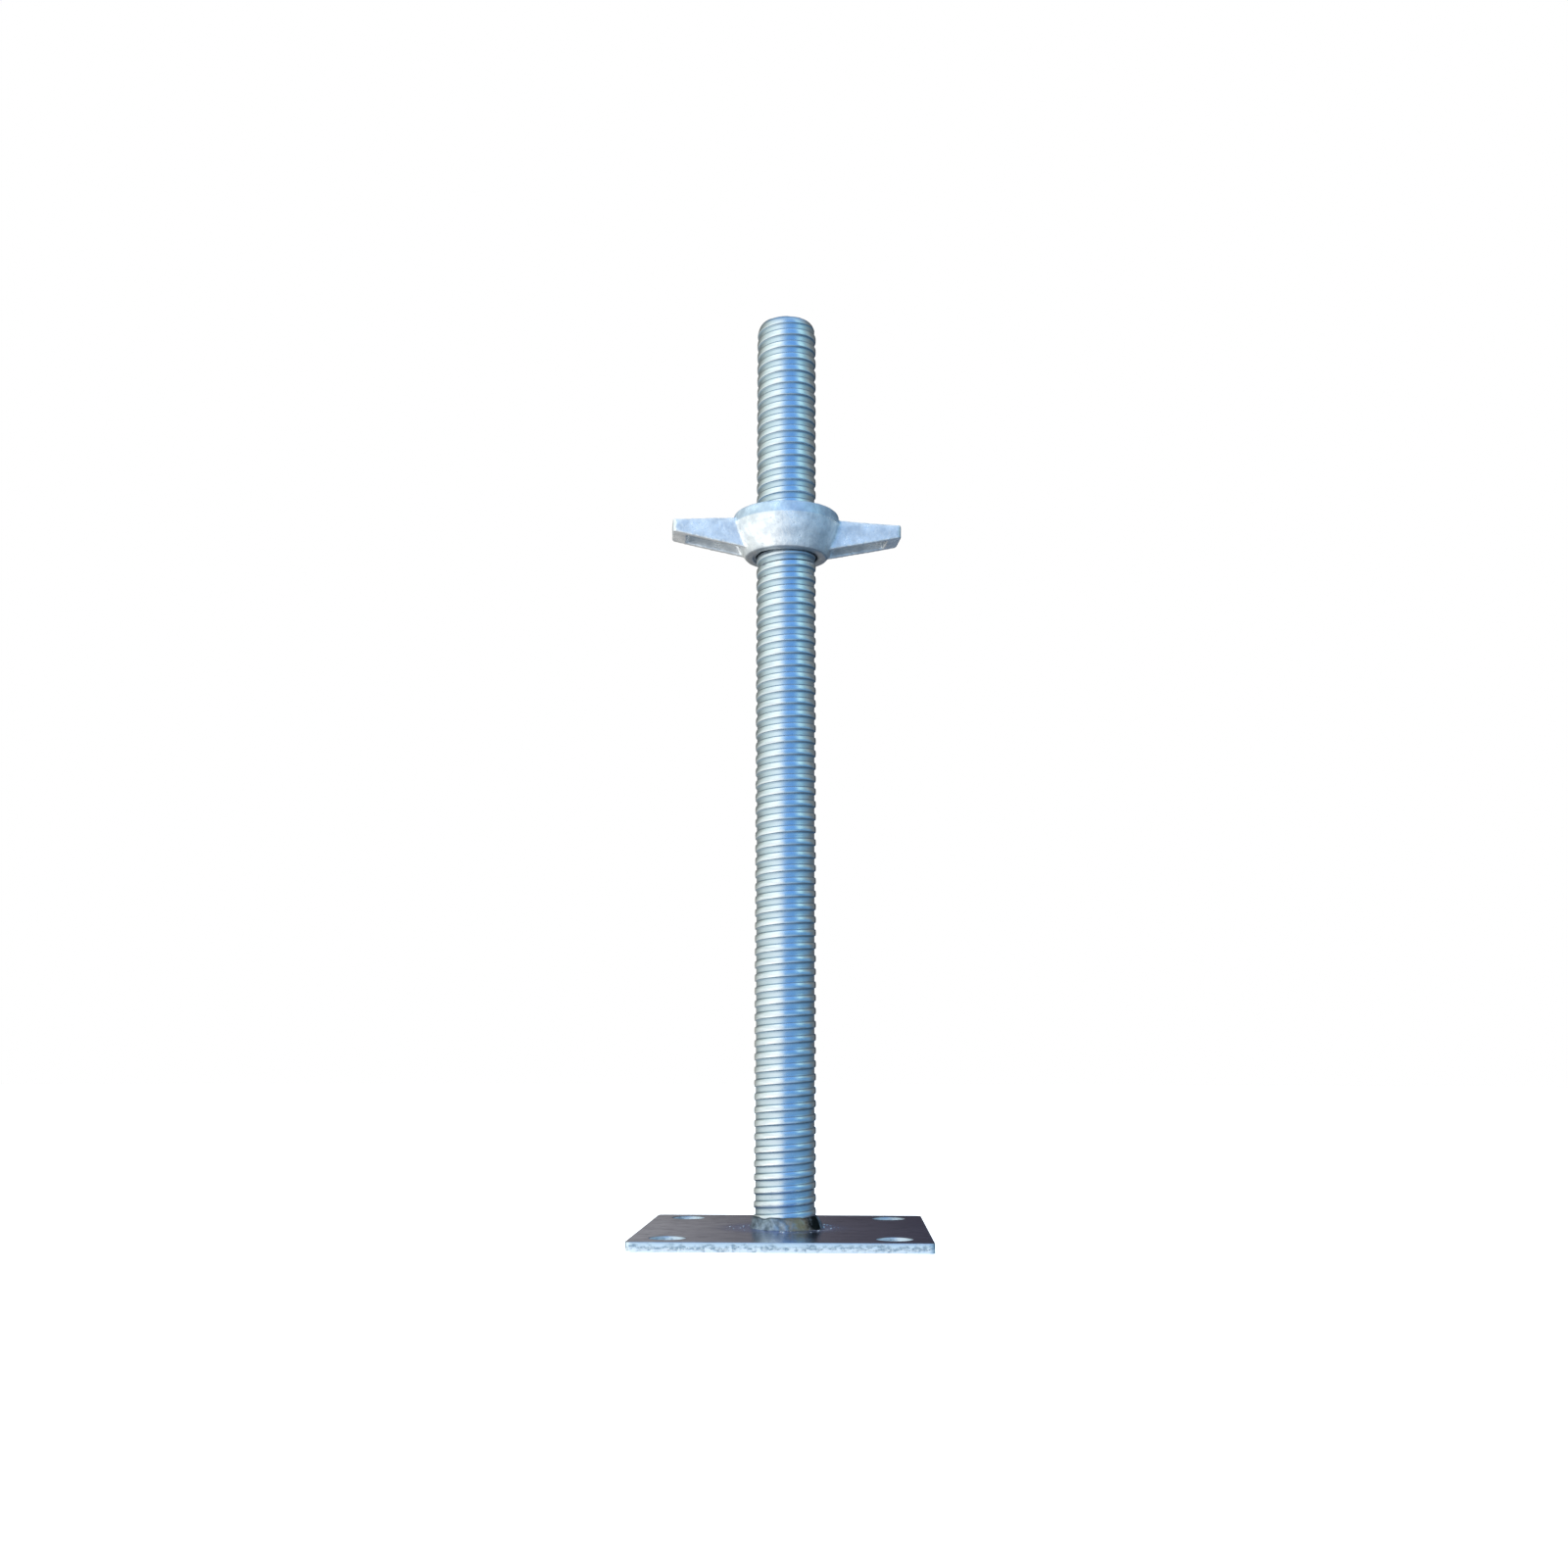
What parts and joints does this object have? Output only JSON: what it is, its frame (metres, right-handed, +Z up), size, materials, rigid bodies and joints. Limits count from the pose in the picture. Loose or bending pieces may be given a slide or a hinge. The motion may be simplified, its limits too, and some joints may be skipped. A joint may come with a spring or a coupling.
{
  "type": "scaffold base jack",
  "caption": "Adjustable scaffold foot: a hollow threaded screw welded to a square drilled base plate, with a cast wing nut that carries the leg.",
  "frame": {"origin": "centre of the base plate's underside", "axes": "+Z up along the screw; X and Y along the plate's sides; the wings lie near X"},
  "size_m": [0.15, 0.15, 0.505],
  "materials": {
    "zinc_plate": "dull zinc plate, brighter on the sheared edges",
    "zinc_thread": "bright blue-white zinc",
    "weld_bead": "dull zinc over a rough weld, with a burnt patch",
    "zinc_casting": "satin zinc over a sand casting"
  },
  "bodies": {
    "jack": {"base_plate": "zinc_plate", "screw_tube": "zinc_thread", "foot_weld": "weld_bead"},
    "nut": {"wing_nut": "zinc_casting"}
  },
  "joints": [
    {"name": "nut_travel", "type": "slide", "parent": "jack", "child": "nut", "axis": [0, 0, 1], "range_m": [-0.35, 0.105]}
  ]
}
